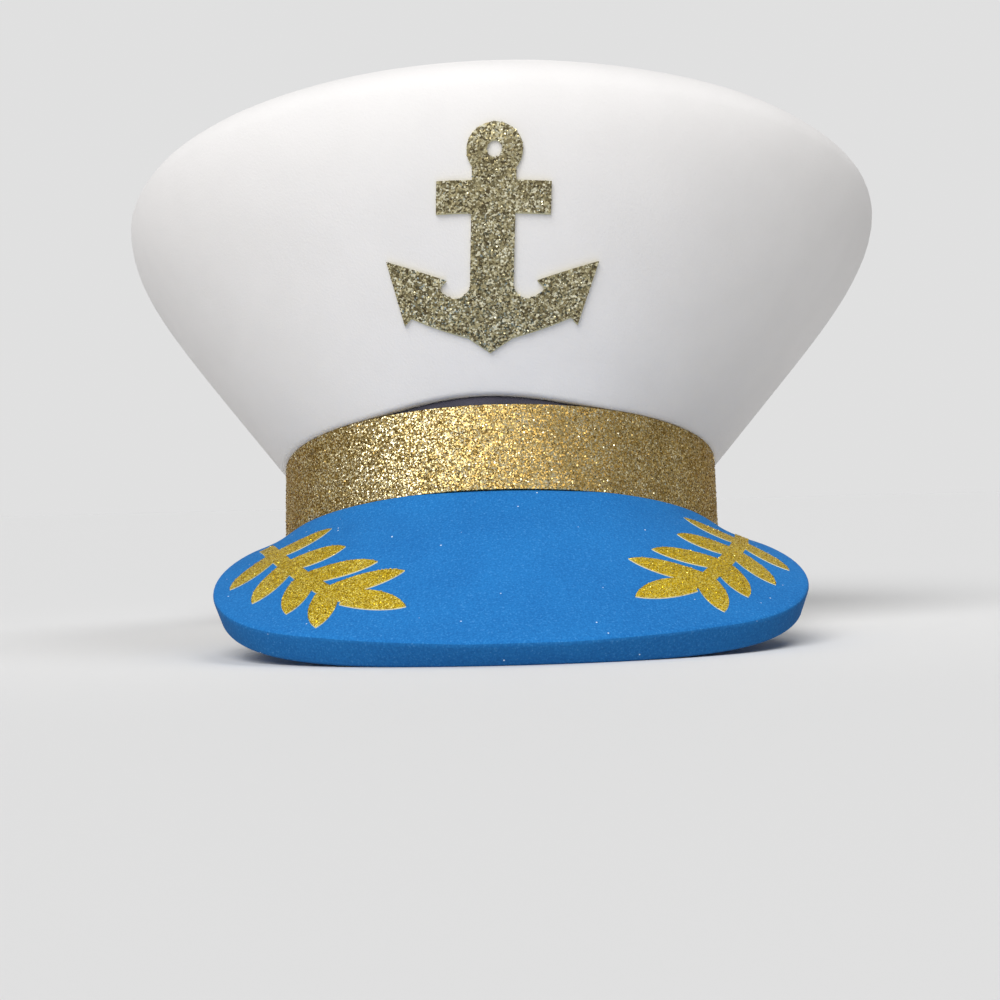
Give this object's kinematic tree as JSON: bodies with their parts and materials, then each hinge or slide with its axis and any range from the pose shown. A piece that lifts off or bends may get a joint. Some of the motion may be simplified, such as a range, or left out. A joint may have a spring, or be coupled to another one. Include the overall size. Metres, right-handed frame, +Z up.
{
  "type": "captain hat",
  "caption": "Oversized foam captain hat with a flared rolled crown, glitter band and anchor, and a sloping visor with leaf branches.",
  "frame": {"origin": "centre of the bounding box on the resting plane", "axes": "+Z up, front of the hat towards -Y, wearer's left towards +X"},
  "size_m": [0.372, 0.413, 0.2552],
  "materials": {
    "navy_foam": "matte foam",
    "white_foam": "matte foam",
    "blue_foam": "matte foam",
    "gold_glitter": "coarse glitter",
    "old_gold_glitter": "coarse glitter",
    "yellow_gold_glitter": "coarse glitter"
  },
  "bodies": {
    "root": {"head_ring": "navy_foam", "gold_band": "gold_glitter", "crown_side": "white_foam", "crown_top": "white_foam", "visor": "blue_foam", "anchor": "old_gold_glitter", "leaf_branch_left": "yellow_gold_glitter", "leaf_branch_right": "yellow_gold_glitter"}
  },
  "joints": []
}
